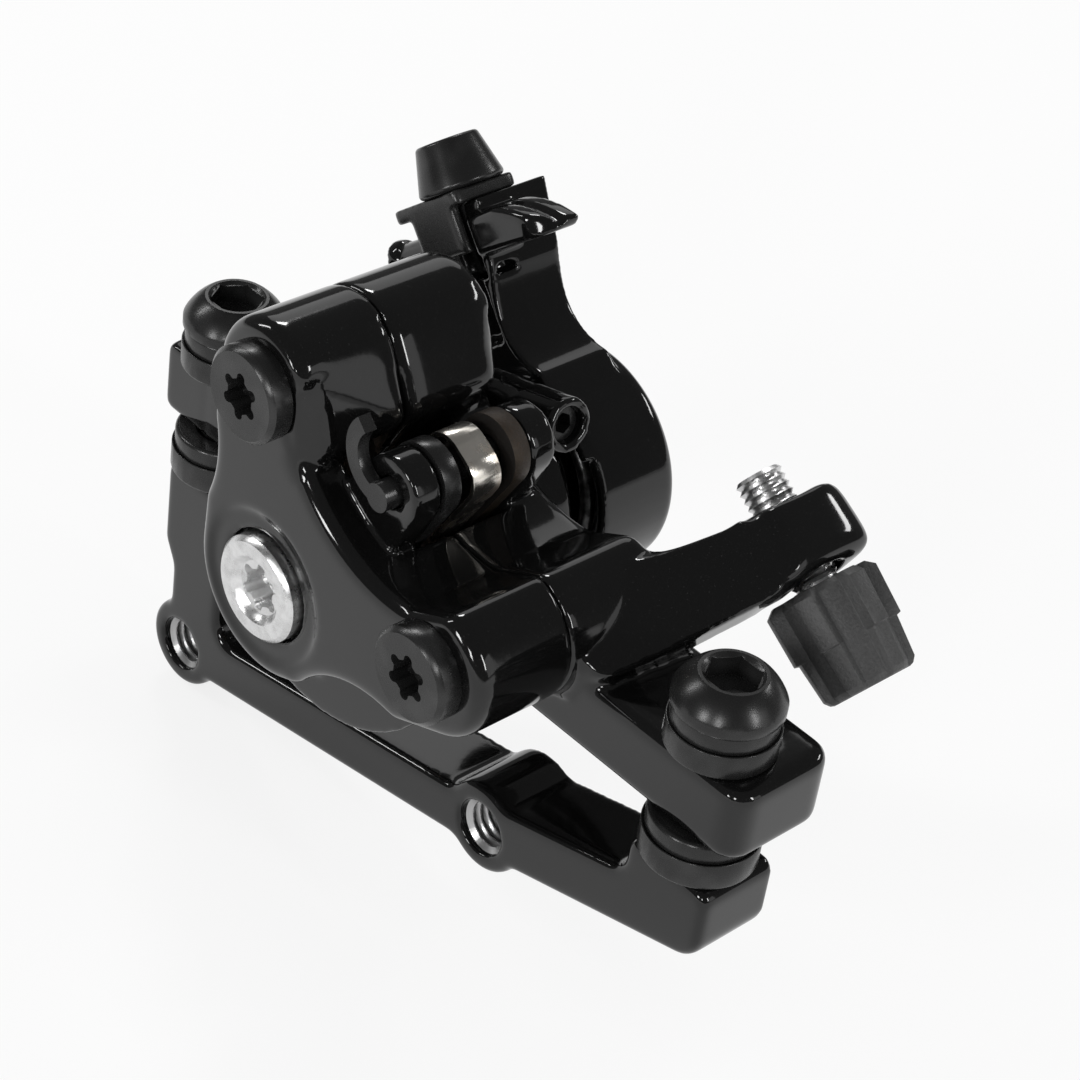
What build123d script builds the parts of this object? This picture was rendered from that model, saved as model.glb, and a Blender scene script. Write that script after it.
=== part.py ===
from build123d import *
import math
import os

# Places on the bicycle: x runs along the post bolts, y outboard along the wheel axle, z up
frame_hole_spacing = 51.0
frame_hole_tilt = 11.0
post_spacing = 74.2
post_middle = 12.45
post_inboard = 5.0
axis_along = 3.84
axis_height = 28.15
caliper_tilt = 30.0
rotor_radius = 80.0
rotor_thickness = 1.8
rotor_plane = -9.8
pad_track_radius = 71.5

# Screw threads, radius over the crests and radius of the core
m6_radius = 3.0
m6_core = 2.5
m5_radius = 2.5
m5_core = 2.1
m5_pitch = 0.8

# Clearances
shaft_clearance = 0.08
running_gap = 0.3
seat_gap = 0.05
overrun = 2.0

# Adapter bracket
bracket_thickness = 9.4
bar_width = 6.1
arm_width = 6.8
foot_drop = 5.9
boss_radius = 5.2
foot_height = 18.65
foot_outer_reach = 5.65
left_post_reach = 4.55
post_neck_reach = 2.5
post_root_reach = 6.03
post_neck_height = 5.0
post_shoulder_height = 8.0
right_foot_reach = 5.15
bracket_inner_round = 2.4
bracket_outer_round = 1.5
bracket_edge_round = 0.9
post_thread_depth = 13.0

# Post bolts and their spherical washers
washer_radius = 5.95
upper_washer_radius = 5.55
washer_bore = 3.4
washer_edge = 0.3
cup_height = 3.3
ball_height = 2.0
upper_cup_height = 3.0
sphere_radius = 10.0
bolt_head_height = 3.5
bolt_rim_height = 0.9
bolt_crown_radius = 3.4
bolt_bulge_height = 0.16
bolt_socket = 5.0
bolt_socket_depth = 2.4
bolt_countersink = 3.05
bolt_countersink_depth = 0.35
bolt_grip_in_post = 10.0

# Ears of the outboard half
ear_height = 8.15
ear_inboard = 9.5
ear_outboard = 3.6
ear_left_reach = 7.3
ear_right_reach = 7.4
ear_corner_round = 2.6
ear_edge_round = 1.0
ear_slot_radius = 3.25
slide_travel = 3.0

# Caliper halves
seam = -11.3
inboard_thickness = 11.7
outboard_back = 1.5
hub_radius = 10.4
left_lobe_across = -13.3
left_lobe_height = 18.0
left_lobe_radius = 7.0
right_lobe_across = 17.8
right_lobe_height = 17.6
right_lobe_radius = 7.4
dish_radius = 18.0
dish_across = 1.5
dish_floor = 15.6
dish_left = 11.2
dish_right = 10.8
dish_left_lean = 0.8
dish_right_lean = 5.0
left_waist_radius = 14.0
left_waist_across = -25.5
left_waist_height = -2.1
right_waist_radius = 15.3
right_waist_across = 24.5
right_waist_height = -7.0
outline_inner_round = 2.0
outline_outer_round = 2.2
body_edge_round = 1.6
skirt_radius = 18.6
skirt_across = 1.2
skirt_height = 6.3
skirt_setback = 4.0
skirt_top = 9.0
skirt_round = 3.0

# Rotor slot, pad pockets and window
rotor_slot_width = 3.0
rotor_edge_gap = 1.5
pad_radius = 9.6
pad_pocket_gap = 0.4
backing_thickness = 2.0
friction_thickness = 2.2
friction_inset = 0.35
pad_rotor_gap = 0.3
pad_ear_radius = 3.9
pad_ear_height = 21.3
pad_ear_across = 1.85
pad_corner_round = 0.6
pad_back_gap = 0.3
window_left = 4.4
window_right = 6.6
window_inboard = -18.0
window_floor = 11.5
lug_radius = 3.8
lug_thickness = 3.3
lug_foot_width = 8.6

# Pad pin and pad spring
pin_radius = 1.5
pin_gap = 0.15
pin_inboard = -19.0
pin_outboard = -0.8
hook_width = 1.7
hook_thickness = 1.4
hook_dip = 0.6
hook_reach = 5.9
hook_rise = 4.1
strip_thickness = 0.5
strip_width = 3.5
strip_inboard = -11.5
strip_left = -1.6
strip_right = 5.5
strip_crown = 24.0
strip_foot = 12.6
strip_bend = 2.6

# Pad adjuster
adjuster_face_radius = 5.7
adjuster_face = -24.0
adjuster_thread_radius = 6.6
adjuster_neck_length = 2.6
adjuster_socket = 5.6
adjuster_socket_depth = 3.2
adjuster_countersink = 3.7
adjuster_countersink_depth = 0.8
adjuster_ring_section = 0.8
adjuster_ring_place = -18.4
adjuster_edge = 0.5
adjuster_flute_share = 0.36
adjuster_dish_radius = 8.4
adjuster_dish_depth = 0.35

# Body screws
body_screw_head_radius = 5.0
body_screw_head_height = 2.5
body_screw_radius = 3.0
body_screw_length = 21.0
body_screw_edge = 0.5
torx_outer = 2.55
torx_inner = 1.8
torx_depth = 2.2
torx_points = 6
torx_lobe_share = 0.75
torx_flute_share = 0.6
torx_edge_share = 0.5

# Actuator
housing_radius = 11.0
housing_end = 9.0
neck_radius = 7.4
neck_end = 11.2
bore_radius = 8.6
plate_clearance = 0.3
plate_thickness = 3.8
foot_radius = 7.6
foot_thickness = 2.0
foot_stem_radius = 3.0
foot_stem_length = 2.0
ball_radius = 2.0
ball_circle_radius = 5.5
ball_count = 3
ball_depth_in_plate = 1.5
plate_flange_gap = 1.0
flange_radius = 8.1
flange_thickness = 3.0
thrust_thickness = 1.5
thrust_hole = 4.4
shaft_radius = 4.0
shaft_shoulder = 12.2
square_width = 5.6
square_end = 20.3
track_clearance = 0.15
lever_turn = 38.0
pad_travel = 1.2
key_width = 2.4
key_height = 1.1
key_gap = 0.15
dust_seal_width = 1.2
dust_seal_depth = 0.9
seal_margin = 0.6
shaft_seal_width = 1.2
shaft_seal_depth = 1.1
shaft_seal_distance = 9.0

# Lever cup, arm and nose; a runs out along the arm and b across it towards the cable's pull
arm_turn = 159.7
cup_radius = 12.8
cup_wall = 1.4
cup_rim = 11.7
cup_back = 22.5
cup_floor_thickness = 2.0
cup_back_round = 1.6
cup_boss_radius = 6.6
arm_inboard = 10.8
arm_outboard = 20.4
arm_end = 29.0
arm_low_edge = -1.6
arm_hub_share = 0.86
arm_top_shares = ((0.34, 1.02), (0.39, 0.86), (0.455, 0.74), (0.535, 0.68), (0.64, 0.72), (0.745, 0.83))
arm_top_width = 9.9
arm_root_drop = 3.0
nose_near = 23.2
nose_face = 10.1
nose_back = 15.3
nose_far = 27.6
nose_top = 12.2
nose_tip = 19.4
nose_cheek = 16.4
nose_cheek_bow = 18.6
nose_bow_place = 12.1
nose_round = 0.7
nose_root = 2.5
nose_belly = 1.2
nose_blunt = 0.8
groove_radius = 1.1
groove_place = 12.8
horn_radius = 1.5
horn_flare_radius = 2.2
horn_length = 7.0
horn_place = 25.6
horn_side = 12.9
horn_flare = 12.0

# Return spring
spring_wire = 1.6
spring_radius = 9.45
spring_turns = 3
spring_pitch = 2.25
spring_start = 11.2
spring_bend = 1.7
spring_tang = 1.9
spring_start_angle = 200.0
spring_hole_depth = 1.8
lever_tang_depth = 1.3
spring_hole_gap = 0.15
spring_samples = 12

# Cable clamp
clamp_thickness = 1.5
clamp_round = 0.9
clamp_head_round = 0.5
clamp_low = -2.2
clamp_high = 9.0
clamp_outboard = 17.4
clamp_tab_face = 8.8
clamp_tab_thickness = 1.2
clamp_tab_drop = 5.0
clamp_tab_low = 0.2
clamp_tab_high = 7.8
clamp_bolt_across = 5.6
clamp_bolt_place = 12.9
clamp_head_foot_radius = 4.75
clamp_head_top_radius = 3.35
clamp_head_height = 5.3
clamp_head_socket = 4.0
clamp_socket_depth = 3.0
clamp_bolt_length = 8.0

# Lever bolt
lever_washer_radius = 5.6
lever_washer_thickness = 1.0
lever_bolt_head_radius = 4.5
lever_bolt_head_height = 2.8
lever_bolt_socket = 3.0
lever_bolt_socket_depth = 1.8
lever_bolt_round = 1.2
lever_bolt_grip = 6.0

# Spring tension screw and its lug
tension_lug_radius = 2.95
tension_screw_radius = 1.9
tension_across = 2.0
tension_height = 18.6
tension_place = 6.1
tension_turn = 45.0
tension_lug_length = 13.0
tension_wall = 1.2
tension_screw_length = 5.0
tension_socket = 2.0
tension_socket_depth = 1.6
tension_recess = 1.2

# Stop arm and barrel adjuster
stop_crest_shares = (
    (0.00, 0.68), (0.112, 0.714), (0.208, 0.755), (0.288, 0.798), (0.351, 0.839), (0.415, 0.885),
    (0.511, 0.947), (0.607, 0.994), (0.783, 1.009), (0.92, 1.0), (0.975, 0.973), (1.00, 0.915),
)
stop_belly_shares = (
    (1.00, 0.835), (0.98, 0.785), (0.93, 0.765), (0.773, 0.776), (0.575, 0.783), (0.447, 0.72),
    (0.335, 0.627), (0.19, 0.52), (0.00, 0.42),
)
stop_wall_shares = (
    (0.222, 0.506), (0.34, 0.54), (0.435, 0.593), (0.548, 0.683), (0.622, 0.755),
    (0.682, 0.839), (0.7, 0.885), (0.714, 0.947), (0.717, 1.012),
)
stop_reach = 21.3
stop_height = 32.2
stop_near = 20.3
stop_far = 28.3
stop_foot_depth = 10.0
stop_tip_round = 2.2
stop_crest_round = 2.6
stop_foot_step = 1.4
stop_foot_rise = 4.5
barrel_axis_side = 14.3
barrel_turn = -5.6
barrel_tip = 16.5
barrel_tip_height = 28.95
barrel_bore = 1.1
barrel_ridge = 0.35
barrel_seat_radius = 2.6
barrel_seat_depth = 6.0
barrel_hole_length = 14.0
barrel_head_radius = 3.6
barrel_head_length = 7.4
barrel_head_gap = 0.8
knob_gap = 0.45
knob_length = 11.1
knob_near_radius = 5.45
knob_far_radius = 4.9
knob_rib_height = 0.55
knob_rib_share = 0.55
knob_ribs = 6
knob_rib_width = 2.6
knob_recess_radius = 2.9


def slab(face, low, high):
    """A face drawn in x and z, thickened along y from low to high."""
    return extrude(Plane.XZ.offset(-low) * face, amount=low - high)


def disc(radius, low, high, across=0, height=0):
    return slab(Pos(across, height) * Circle(radius), low, high)


def ring(outer, inner, low, high):
    return disc(outer, low, high) - disc(inner, low, high)


def upright(radius, low, high):
    """A cylinder along z, from low to high."""
    return Pos(0, 0, (low + high) / 2) * Cylinder(radius, high - low)


def turned(points):
    """A solid of revolution about z from its half outline, points given as radius and height."""
    outline = make_face(Polyline(*[(radius, 0, height) for radius, height in points], close=True))
    return revolve(outline, Axis.Z)


def capsule(start, end, width):
    ends = (Pos(*start) * Circle(width / 2)).edges() + (Pos(*end) * Circle(width / 2)).edges()
    return make_hull(ends)


def rectangle(left, right, low, high):
    return Pos((left + right) / 2, (low + high) / 2) * Rectangle(right - left, high - low)


def block(x_from, x_to, y_from, y_to, z_from, z_to):
    middle = Pos((x_from + x_to) / 2, (y_from + y_to) / 2, (z_from + z_to) / 2)
    return middle * Box(x_to - x_from, y_to - y_from, z_to - z_from)


def softened(face, inner, outer):
    """Rounds the hollow corners of a face with one radius and its outward ones with another."""
    filled = offset(offset(face, inner), -inner)
    return offset(offset(filled, -outer), outer)


def torx_face(outer, inner):
    """A six-lobed socket outline: round lobes with round flutes between them."""
    lobe = (outer - inner) * torx_lobe_share
    star = Circle(inner)
    for index in range(torx_points):
        turn = math.radians(index * 360 / torx_points)
        star += Pos((outer - lobe) * math.cos(turn), (outer - lobe) * math.sin(turn)) * Circle(lobe)
    return softened(star, lobe * torx_flute_share, lobe * torx_edge_share)


caliper_place = Location((axis_along, 0, axis_height), (0, caliper_tilt, 0))

half_spacing = frame_hole_spacing / 2
frame_hole_turn = math.radians(frame_hole_tilt)
right_hole = (half_spacing * math.cos(frame_hole_turn), half_spacing * math.sin(frame_hole_turn))
left_hole = (-right_hole[0], -right_hole[1])
left_post = post_middle - post_spacing / 2
right_post = post_middle + post_spacing / 2
posts = (left_post, right_post)

lower_rim = foot_height + cup_height
ear_bottom = lower_rim + ball_height
ear_top = ear_bottom + ear_height
upper_rim = ear_top + upper_cup_height
head_seat = upper_rim + ball_height

front = seam - inboard_thickness
slot_outboard = seam + rotor_slot_width
inboard_lining = rotor_plane - rotor_thickness / 2 - pad_rotor_gap
inboard_backing = inboard_lining - friction_thickness
inboard_pad_back = inboard_backing - backing_thickness
inboard_pocket = inboard_pad_back - pad_back_gap
outboard_lining = rotor_plane + rotor_thickness / 2 + pad_rotor_gap
outboard_backing = outboard_lining + friction_thickness
outboard_pad_back = outboard_backing + backing_thickness
outboard_pocket = outboard_pad_back + pad_back_gap

plate_front = outboard_pad_back + foot_thickness
plate_back = plate_front + plate_thickness
ball_place = plate_back + ball_radius - ball_depth_in_plate
plate_radius = bore_radius - plate_clearance
flange_front = plate_back + plate_flange_gap
flange_back = flange_front + flange_thickness
bore_end = flange_back + thrust_thickness
body_top = left_lobe_height + left_lobe_radius + overrun

knob_start = (stop_far - barrel_tip) / math.cos(math.radians(barrel_turn)) + knob_gap
barrel_head_start = knob_start + barrel_head_gap
barrel_length = barrel_head_start + barrel_head_length


def adapter_face():
    arm_corner = right_post + foot_outer_reach - arm_width / 2
    arm_slope = (foot_height - foot_drop - right_hole[1]) / (arm_corner - right_hole[0])
    arm_end_height = right_hole[1] + arm_slope * (arm_corner - right_hole[0])
    face = capsule(left_hole, right_hole, bar_width)
    face += capsule(right_hole, (arm_corner, arm_end_height), arm_width)
    for hole in (left_hole, right_hole):
        face += Pos(*hole) * Circle(boss_radius)
    foot_left = right_post - right_foot_reach
    foot_right = right_post + foot_outer_reach
    face += rectangle(foot_left, foot_right, arm_end_height, foot_height)
    left = left_post - left_post_reach
    right = left_post + foot_outer_reach
    neck = left_hole[0] - post_neck_reach
    root = left_hole[0] + post_root_reach
    points = ((left, foot_height), (right, foot_height), (root, left_hole[1]), (neck, left_hole[1]),
              (neck, post_neck_height), (left, post_shoulder_height))
    face += make_face(Polyline(*points, close=True))
    return softened(face, bracket_inner_round, bracket_outer_round)


def adapter_bracket():
    bracket = slab(adapter_face(), -bracket_thickness, 0)
    edges = bracket.faces().sort_by(Axis.Y)[0].edges()
    bracket = fillet(edges, bracket_edge_round)
    for hole in (left_hole, right_hole):
        bracket -= disc(m6_core, -bracket_thickness - overrun, overrun, *hole)
    for post in posts:
        bore = upright(m6_core, foot_height - post_thread_depth, foot_height + overrun)
        bracket -= Pos(post, -post_inboard, 0) * bore
    return bracket


def at_posts(piece):
    return Compound([Pos(post, -post_inboard, 0) * piece for post in posts])


def washer_dish(rim, radius):
    """The ball whose surface passes through the rim of a hollow washer."""
    return Pos(0, 0, rim + math.sqrt(sphere_radius ** 2 - radius ** 2))


def cup_washer(seat, rim, radius):
    cup = upright(radius, seat, rim) - washer_dish(rim, radius) * Sphere(sphere_radius)
    cup = chamfer(cup.faces().sort_by(Axis.Z)[0].edges(), washer_edge)
    return cup - upright(washer_bore, seat - overrun, rim)


def ball_washer(rim, top, radius):
    ball = upright(radius - washer_edge, rim - ball_height, top)
    ball &= washer_dish(rim, radius) * Sphere(sphere_radius - seat_gap)
    ball = chamfer(ball.faces().sort_by(Axis.Z)[-1].edges(), washer_edge)
    return ball - upright(washer_bore, rim - ball_height - overrun, top + overrun)


def hex_socket(across, low, high):
    face = RegularPolygon(across / 2, 6, major_radius=False)
    return extrude(Plane.XY.offset(low) * face, amount=high - low)


def post_bolt():
    top = head_seat + bolt_head_height
    shoulder = head_seat + bolt_rim_height
    crown_out = (bolt_crown_radius + upper_washer_radius) / 2 + bolt_bulge_height
    crown_mid = (crown_out, 0, (top + shoulder) / 2 + bolt_bulge_height)
    tip = foot_height - bolt_grip_in_post
    rim = (upper_washer_radius, 0, shoulder)
    stem = Polyline((bolt_crown_radius, 0, top), (0, 0, top), (0, 0, tip), (m6_core - seat_gap, 0, tip),
                    (m6_core - seat_gap, 0, foot_height), (m6_radius, 0, foot_height),
                    (m6_radius, 0, head_seat), (upper_washer_radius, 0, head_seat), rim)
    dome = ThreePointArc(rim, crown_mid, (bolt_crown_radius, 0, top))
    bolt = revolve(make_face(stem + dome), Axis.Z)
    bolt -= hex_socket(bolt_socket, top - bolt_socket_depth, top + overrun)
    cone = Cone(bolt_countersink - bolt_countersink_depth, bolt_countersink, bolt_countersink_depth)
    return bolt - Pos(0, 0, top - bolt_countersink_depth / 2) * cone


def dish_tool():
    """The hollow between the two screw lobes, where the window opens."""
    centre = dish_floor + dish_radius
    left_height = centre - math.sqrt(dish_radius ** 2 - dish_left ** 2)
    right_height = centre - math.sqrt(dish_radius ** 2 - dish_right ** 2)
    left = dish_across - dish_left
    right = dish_across + dish_right
    walls = Polyline((left, left_height), (left - dish_left_lean, body_top),
                     (right + dish_right_lean, body_top), (right, right_height))
    floor = ThreePointArc((right, right_height), (dish_across, dish_floor), (left, left_height))
    return make_face(walls + floor)


def half_face():
    """The outline that both halves share, seen from the inboard side."""
    hub = Circle(hub_radius)
    left = Pos(left_lobe_across, left_lobe_height) * Circle(left_lobe_radius)
    right = Pos(right_lobe_across, right_lobe_height) * Circle(right_lobe_radius)
    face = make_hull(hub.edges() + left.edges() + right.edges()) - dish_tool()
    face -= Pos(left_waist_across, left_waist_height) * Circle(left_waist_radius)
    face -= Pos(right_waist_across, right_waist_height) * Circle(right_waist_radius)
    return softened(face, outline_inner_round, outline_outer_round)


def skirt(low, high):
    face = Pos(skirt_across, skirt_height) * Circle(skirt_radius)
    face &= rectangle(skirt_across, skirt_across + skirt_radius, skirt_height - skirt_radius, skirt_top)
    return slab(softened(face, skirt_round / 2, skirt_round), low, high)


def pad_pocket(low, high):
    """Room for a pad, open towards the wheel's hub."""
    radius = pad_radius + pad_pocket_gap
    face = Circle(radius) + rectangle(-radius, radius, -skirt_radius, 0)
    return slab(face, low, high)


def pad_lug(low, high):
    top = Pos(pad_ear_across, pad_ear_height) * Circle(lug_radius)
    half = lug_foot_width / 2
    foot = rectangle(pad_ear_across - half, pad_ear_across + half, window_floor - overrun, dish_floor)
    lug = slab(make_hull(top.edges() + foot.edges()), low, high)
    return lug


def screw_places():
    return ((left_lobe_across, left_lobe_height), (right_lobe_across, right_lobe_height))


def inboard_body():
    body = slab(half_face(), front, seam)
    body = fillet(body.faces().sort_by(Axis.Y)[0].edges(), body_edge_round)
    body += skirt(front + skirt_setback, seam)
    body -= pad_pocket(inboard_pocket, seam + overrun)
    body -= block(-window_left, window_right, inboard_pocket, seam + overrun, 0, body_top)
    body -= block(-window_left, window_right, window_inboard, inboard_pocket, window_floor, body_top)
    body += pad_lug(inboard_pocket - lug_thickness, inboard_pocket)
    body -= disc(pin_radius + pin_gap, front, seam, pad_ear_across, pad_ear_height)
    for place in screw_places():
        body -= disc(body_screw_radius + pin_gap, front - overrun, seam + overrun, *place)
    body -= disc(adjuster_dish_radius, front - overrun, front + adjuster_dish_depth)
    body -= disc(adjuster_face_radius + running_gap, front - overrun, seam)
    body -= disc(adjuster_thread_radius + shaft_clearance, front + adjuster_neck_length, seam)
    return body


def ear_bar():
    """The bar along the post bolts, rounded at its corners and edges."""
    bar = block(left_post - ear_left_reach, right_post + ear_right_reach, -ear_inboard, ear_outboard,
                ear_bottom, ear_top)
    bar = fillet(bar.edges().filter_by(Axis.Z), ear_corner_round)
    faces = bar.faces().sort_by(Axis.Z)
    return fillet(faces[-1].edges() + faces[0].edges(), ear_edge_round)


def ear_slots():
    slots = []
    for post in posts:
        start = (post, -post_inboard)
        end = (post, -post_inboard + slide_travel)
        face = capsule(start, end, ear_slot_radius * 2)
        slots.append(extrude(Plane.XY.offset(ear_bottom - overrun) * face, amount=ear_height + 2 * overrun))
    return slots


def stop_arm():
    """The arm that carries the barrel adjuster: what its side, plan and end outlines have in common."""
    span = stop_reach + stop_foot_depth
    crest = [(0, -stop_foot_depth + share * span, rise * stop_height) for share, rise in stop_crest_shares]
    belly = [(0, -stop_foot_depth + share * span, rise * stop_height) for share, rise in stop_belly_shares]
    side_edges = Spline(*crest) + Line(crest[-1], belly[0]) + Spline(*belly) + Line(belly[-1], crest[0])
    side = extrude(make_face(side_edges), amount=stop_far + overrun, dir=(1, 0, 0))
    wall = [(across * stop_far, 0, rise * stop_height) for across, rise in stop_wall_shares]
    top = wall[-1][2]
    crest_start = (stop_far - stop_crest_round, 0, top)
    crest_end = (stop_far, 0, top - stop_crest_round)
    inset = stop_crest_round * (1 - math.sqrt(1 / 2))
    crest_edge = ThreePointArc(crest_start, (stop_far - inset, 0, top - inset), crest_end)
    wall_edges = Spline(*wall) + Line(wall[-1], crest_start) + crest_edge
    wall_edges += Polyline(crest_end, (stop_far, 0, right_lobe_height), (wall[0][0], 0, 0), wall[0])
    end = extrude(make_face(wall_edges), amount=stop_reach + stop_foot_depth + overrun, dir=(0, 1, 0))
    end = Pos(0, -stop_foot_depth - overrun, 0) * end
    back = outboard_back
    rise = back + stop_foot_rise
    points = ((wall[0][0], -stop_foot_depth), (wall[0][0], back), (stop_near - stop_foot_step, back),
              (stop_near, rise), (stop_near, stop_reach), (stop_far, stop_reach), (stop_far, rise),
              (stop_far - stop_foot_step, -stop_foot_depth))
    plan_edges = Polyline(*points, close=True)
    plan_face = softened(make_face(plan_edges), stop_foot_step, stop_tip_round)
    plan = extrude(plan_face, amount=top, dir=(0, 0, 1))
    return side & end & plan


def tension_line():
    """Where the spring tension screw's axis starts, with z along the axis towards its mouth."""
    return Pos(tension_across, tension_place, tension_height) * Rot(0, tension_turn, 0)


def tension_lug():
    return tension_line() * upright(tension_lug_radius, -tension_lug_length, 0)


def outboard_body():
    body = slab(half_face(), seam, outboard_back)
    body = fillet(body.faces().sort_by(Axis.Y)[-1].edges(), body_edge_round)
    body += skirt(seam, outboard_back - skirt_setback)
    body += disc(housing_radius, slot_outboard, housing_end)
    body += disc(neck_radius, housing_end - overrun, neck_end)
    body += stop_arm()
    body += tension_lug()
    body += caliper_place.inverse() * ear_bar()
    body -= pad_pocket(seam - overrun, outboard_pocket)
    body -= disc(rotor_radius + rotor_edge_gap, seam - overrun, slot_outboard, 0, -pad_track_radius)
    body -= block(-window_left, window_right, seam - overrun, outboard_pocket, 0, body_top)
    body += pad_lug(outboard_pocket, outboard_pocket + lug_thickness)
    body -= disc(pin_radius + pin_gap, seam, pin_outboard + pin_gap, pad_ear_across, pad_ear_height)
    body -= disc(bore_radius, seam, bore_end)
    body -= disc(shaft_radius + shaft_clearance, seam, neck_end + overrun)
    body -= disc(shaft_radius + shaft_seal_depth, shaft_seal_distance, shaft_seal_distance + shaft_seal_width)
    for side in (-1, 1):
        reach = side * (bore_radius + key_height)
        half = key_width / 2 + key_gap
        near = min(0, reach)
        far = max(0, reach)
        body -= block(near, far, outboard_pocket - overrun, plate_back + running_gap, -half, half)
    for place in screw_places():
        body -= disc(m6_core, seam - overrun, front + body_screw_length + running_gap, *place)
    body -= tension_line() * upright(tension_screw_radius, -tension_lug_length + tension_wall, overrun)
    body -= barrel_line() * upright(m5_radius + shaft_clearance, -overrun, barrel_hole_length)
    for slot in ear_slots():
        body -= caliper_place.inverse() * slot
    body -= spring_hole(housing_end - spring_hole_depth, housing_end + overrun, spring_start_angle)
    return body


def body_screw(across, height):
    screw = disc(body_screw_head_radius, front - body_screw_head_height, front)
    screw = chamfer(screw.faces().sort_by(Axis.Y)[0].edges(), body_screw_edge)
    screw += disc(body_screw_radius, front, seam)
    screw += disc(m6_core - seat_gap, seam, front + body_screw_length)
    socket = torx_face(torx_outer, torx_inner)
    face = front - body_screw_head_height
    screw -= slab(socket, face - overrun, face + torx_depth)
    return Pos(across, 0, height) * screw


def pad_adjuster():
    shoulder = front + adjuster_neck_length + running_gap
    adjuster = disc(adjuster_face_radius, adjuster_face, shoulder)
    adjuster = chamfer(adjuster.faces().sort_by(Axis.Y)[0].edges(), adjuster_edge)
    adjuster += disc(adjuster_thread_radius, shoulder, inboard_pad_back)
    groove = ring(adjuster_thread_radius + overrun, adjuster_thread_radius - adjuster_ring_section,
                  adjuster_ring_place, adjuster_ring_place + 2 * adjuster_ring_section)
    adjuster -= groove
    socket = torx_face(adjuster_socket / 2, adjuster_socket * adjuster_flute_share)
    adjuster -= slab(socket, adjuster_face - overrun, adjuster_face + adjuster_socket_depth)
    bottom = adjuster_countersink - adjuster_countersink_depth
    cone = Cone(bottom, adjuster_countersink, adjuster_countersink_depth)
    place = Pos(0, adjuster_face + adjuster_countersink_depth / 2, 0) * Rot(90, 0, 0)
    return adjuster - place * cone


def adjuster_ring():
    outer = adjuster_thread_radius + shaft_clearance
    inner = adjuster_thread_radius - adjuster_ring_section
    low = adjuster_ring_place + seat_gap
    high = adjuster_ring_place + 2 * adjuster_ring_section - seat_gap
    return ring(outer - seat_gap, inner + seat_gap, low, high)


def pad_backing(low, high):
    ear = Pos(pad_ear_across, pad_ear_height) * Circle(pad_ear_radius)
    neck = rectangle(pad_ear_across - pad_ear_radius, pad_ear_across + pad_ear_radius, 0, pad_ear_height)
    face = softened(Circle(pad_radius) + neck + ear, outline_inner_round, pad_corner_round)
    return slab(face, low, high) - disc(pin_radius + running_gap, low, high, pad_ear_across, pad_ear_height)


def pad_friction(low, high):
    return disc(pad_radius - friction_inset, low, high)


def pad_pin():
    pin = disc(pin_radius, pin_inboard, pin_outboard, pad_ear_across, pad_ear_height)
    start = (pad_ear_across, pad_ear_height)
    middle = (pad_ear_across - hook_reach / 2, pad_ear_height - hook_dip)
    end = (pad_ear_across - hook_reach, pad_ear_height + hook_rise)
    path = ThreePointArc(start, middle, end)
    hook = slab(trace(path, hook_width), pin_inboard - hook_thickness, pin_inboard)
    return pin + hook + disc(pin_radius, pin_inboard - hook_thickness, pin_inboard, *start)


def pad_spring():
    """A strip bent over the pin, with a leg down between the two pads on each side."""
    path = FilletPolyline((strip_left, strip_foot), (strip_left, strip_crown), (strip_right, strip_crown),
                          (strip_right, strip_foot), radius=strip_bend)
    face = trace(path, strip_thickness)
    return slab(face, strip_inboard, strip_inboard + strip_width)


def pressure_foot():
    foot = disc(foot_radius, outboard_pad_back, plate_front)
    return foot + disc(foot_stem_radius, plate_front, plate_front + foot_stem_length)


def ball_places():
    turns = [math.radians(90 + index * 360 / ball_count) for index in range(ball_count)]
    radius = ball_circle_radius
    return [Pos(radius * math.cos(turn), ball_place, radius * math.sin(turn)) for turn in turns]


def ramp_plate():
    """The plate that slides in the housing: keys at its sides, pockets for the balls and a seal groove."""
    plate = disc(plate_radius, plate_front, plate_back)
    reach = plate_radius + key_height
    half = key_width / 2
    plate += block(-reach, reach, plate_back - key_width, plate_back, -half, half)
    plate -= disc(foot_stem_radius, plate_front - overrun, plate_front + foot_stem_length)
    groove_low = plate_front + seal_margin
    groove_high = groove_low + dust_seal_width
    groove = ring(plate_radius + overrun, plate_radius - dust_seal_depth, groove_low, groove_high)
    plate -= groove
    for place in ball_places():
        plate -= place * Sphere(ball_radius + seat_gap)
    return plate


def dust_seal():
    low = plate_front + seal_margin + seat_gap
    high = plate_front + seal_margin + dust_seal_width - seat_gap
    return ring(bore_radius - seat_gap, plate_radius - dust_seal_depth + seat_gap, low, high)


def ramp_balls():
    return Compound([place * Sphere(ball_radius) for place in ball_places()])


def ball_track(start_turn):
    """A groove for one ball: a bent tube about the axis, tilted so that it climbs as the flange turns."""
    half_turn = lever_turn / 2
    climb = 2 * ball_circle_radius * math.sin(math.radians(half_turn))
    tilt = math.degrees(math.atan(pad_travel / climb))
    section = Pos(ball_circle_radius, 0, 0) * Rot(90, 0, 0) * Circle(ball_radius + track_clearance)
    tube = revolve(Rot(0, 0, -half_turn) * section, Axis.Z, lever_turn)
    end = Pos(ball_circle_radius, 0, 0) * Sphere(ball_radius + track_clearance)
    tube += Rot(0, 0, half_turn) * end + Rot(0, 0, -half_turn) * end
    middle = ball_place - pad_travel / 2
    return Pos(0, middle, 0) * Rot(0, -start_turn - half_turn, 0) * Rot(90, 0, 0) * Rot(tilt, 0, 0) * tube


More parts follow.
